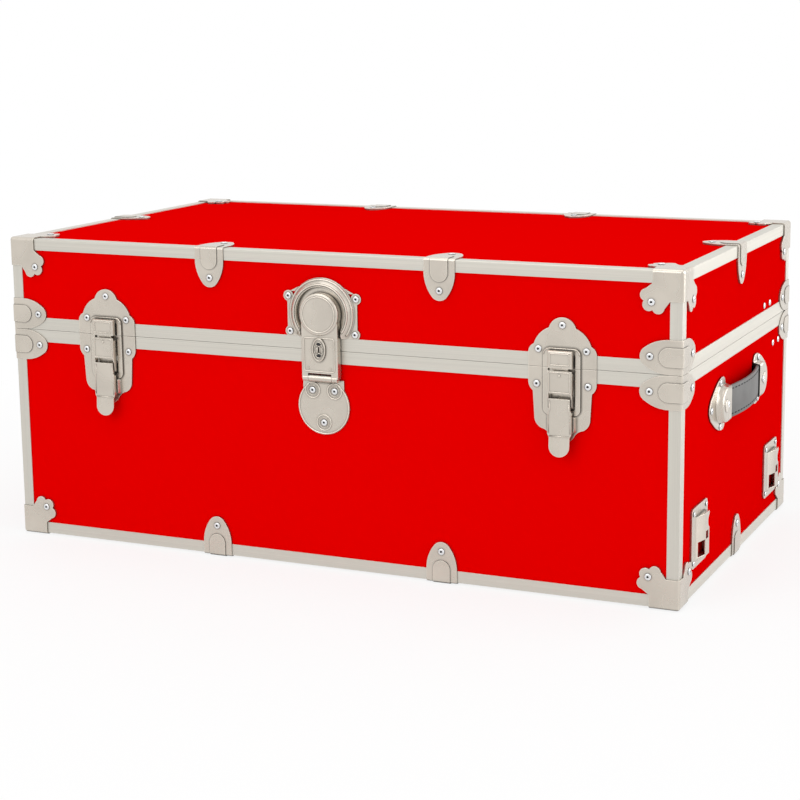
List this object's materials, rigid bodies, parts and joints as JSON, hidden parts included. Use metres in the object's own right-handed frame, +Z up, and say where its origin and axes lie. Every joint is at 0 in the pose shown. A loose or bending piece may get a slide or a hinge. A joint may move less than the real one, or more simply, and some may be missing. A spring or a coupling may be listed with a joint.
{
  "type": "storage chest",
  "caption": "Rectangular storage chest with a hinged lid, metal edging, riveted corner caps, draw latches, a hasp lock and strap handles.",
  "frame": {"origin": "middle of the footprint's bounding box, at the floor", "axes": "+X along the length to the end with the wheel brackets, -Y to the front with the latches, +Z up"},
  "size_m": [0.8392, 0.4782, 0.359],
  "materials": {
    "plywood": null,
    "red_covering": "smooth, even red covering with a soft sheen",
    "lining_paper": null,
    "edging_aluminium": "drawn aluminium with faint lengthwise lines",
    "nickel_steel": "plated pressed steel, warm grey, soft shine",
    "zinc_rivets": null,
    "grey_strap": "mid-grey strap stitched near both edges"
  },
  "bodies": {
    "base": {"base_floor_board": "plywood", "base_front_board": "plywood", "base_back_board": "plywood", "base_right_board": "plywood", "base_left_board": "plywood", "base_skin": "red_covering", "base_lining": "lining_paper", "base_bottom_trim": "edging_aluminium", "base_corner_trims": "edging_aluminium", "base_rim": "edging_aluminium", "base_corner_caps": "nickel_steel", "base_edge_clamps": "nickel_steel", "base_seam_caps": "nickel_steel", "left_latch_plate": "nickel_steel", "right_latch_plate": "nickel_steel", "latch_pins": "nickel_steel", "lock_base_plate": "nickel_steel", "lock_hinge_pin": "nickel_steel", "right_handle_mount_front": "nickel_steel", "left_handle_mount_front": "nickel_steel", "right_handle_mount_back": "nickel_steel", "left_handle_mount_back": "nickel_steel", "right_handle_strap": "grey_strap", "left_handle_strap": "grey_strap", "wheel_bracket_front": "nickel_steel", "wheel_bracket_back": "nickel_steel", "hinge_base_leaves": "nickel_steel", "hinge_pins": "nickel_steel", "stay_base_brackets": "nickel_steel", "base_rivets": "zinc_rivets"},
    "lid": {"lid_top_board": "plywood", "lid_front_board": "plywood", "lid_back_board": "plywood", "lid_right_board": "plywood", "lid_left_board": "plywood", "lid_skin": "red_covering", "lid_lining": "lining_paper", "lid_top_trim": "edging_aluminium", "lid_corner_trims": "edging_aluminium", "lid_rim": "edging_aluminium", "lid_corner_caps": "nickel_steel", "lid_edge_clamps": "nickel_steel", "lid_seam_caps": "nickel_steel", "left_latch_catch": "nickel_steel", "right_latch_catch": "nickel_steel", "lock_lid_plate": "nickel_steel", "hinge_lid_leaves": "nickel_steel", "stay_lid_brackets": "nickel_steel", "lid_rivets": "zinc_rivets"},
    "hasp": {"lock_hasp": "nickel_steel"},
    "key_plug": {"lock_key_plug": "nickel_steel"},
    "left_lever": {"left_latch_lever": "nickel_steel"},
    "left_claw": {"left_latch_claw": "nickel_steel"},
    "left_lower_stay": {"left_stay_lower_arm": "nickel_steel"},
    "left_upper_stay": {"left_stay_upper_arm": "nickel_steel"},
    "right_lever": {"right_latch_lever": "nickel_steel"},
    "right_claw": {"right_latch_claw": "nickel_steel"},
    "right_lower_stay": {"right_stay_lower_arm": "nickel_steel"},
    "right_upper_stay": {"right_stay_upper_arm": "nickel_steel"}
  },
  "joints": [
    {"name": "lid_hinge", "type": "hinge", "parent": "base", "child": "lid", "pos_m": [0, 0.2356, 0.2492], "axis": [-1, 0, 0], "range_deg": [0, 95]},
    {"name": "hasp_hinge", "type": "hinge", "parent": "base", "child": "hasp", "pos_m": [0, -0.2328, 0.219], "axis": [1, 0, 0], "range_deg": [0, 160]},
    {"name": "key_turn", "type": "hinge", "parent": "hasp", "child": "key_plug", "pos_m": [0, -0.2328, 0.251], "axis": [0, 1, 0], "range_deg": [0, 180]},
    {"name": "left_lever_hinge", "type": "hinge", "parent": "base", "child": "left_lever", "pos_m": [-0.2785, -0.2335, 0.2145], "axis": [-1, 0, 0], "range_deg": [0, 95]},
    {"name": "left_claw_pivot", "type": "hinge", "parent": "left_lever", "child": "left_claw", "pos_m": [-0.2785, -0.2327, 0.2102], "axis": [-1, 0, 0], "range_deg": [-91, 0]},
    {"name": "left_lower_stay_pivot", "type": "hinge", "parent": "base", "child": "left_lower_stay", "pos_m": [-0.394, 0.1755, 0.2178], "axis": [-1, 0, 0], "range_deg": [0, 134]},
    {"name": "left_upper_stay_pivot", "type": "hinge", "parent": "lid", "child": "left_upper_stay", "pos_m": [-0.3916, 0.1292, 0.2696], "axis": [-1, 0, 0], "range_deg": [-78, 0]},
    {"name": "right_lever_hinge", "type": "hinge", "parent": "base", "child": "right_lever", "pos_m": [0.2785, -0.2335, 0.2145], "axis": [-1, 0, 0], "range_deg": [0, 95]},
    {"name": "right_claw_pivot", "type": "hinge", "parent": "right_lever", "child": "right_claw", "pos_m": [0.2785, -0.2327, 0.2102], "axis": [-1, 0, 0], "range_deg": [-91, 0]},
    {"name": "right_lower_stay_pivot", "type": "hinge", "parent": "base", "child": "right_lower_stay", "pos_m": [0.394, 0.1755, 0.2178], "axis": [-1, 0, 0], "range_deg": [0, 134]},
    {"name": "right_upper_stay_pivot", "type": "hinge", "parent": "lid", "child": "right_upper_stay", "pos_m": [0.3916, 0.1292, 0.2696], "axis": [-1, 0, 0], "range_deg": [-78, 0]}
  ],
  "couplings": [
    {"joint": "left_claw_pivot", "follows": "left_lever_hinge", "ratio": -0.956},
    {"joint": "left_lower_stay_pivot", "follows": "lid_hinge", "ratio": 1.4023},
    {"joint": "left_upper_stay_pivot", "follows": "lid_hinge", "ratio": -0.8177},
    {"joint": "right_claw_pivot", "follows": "right_lever_hinge", "ratio": -0.956},
    {"joint": "right_lower_stay_pivot", "follows": "lid_hinge", "ratio": 1.4023},
    {"joint": "right_upper_stay_pivot", "follows": "lid_hinge", "ratio": -0.8177}
  ]
}
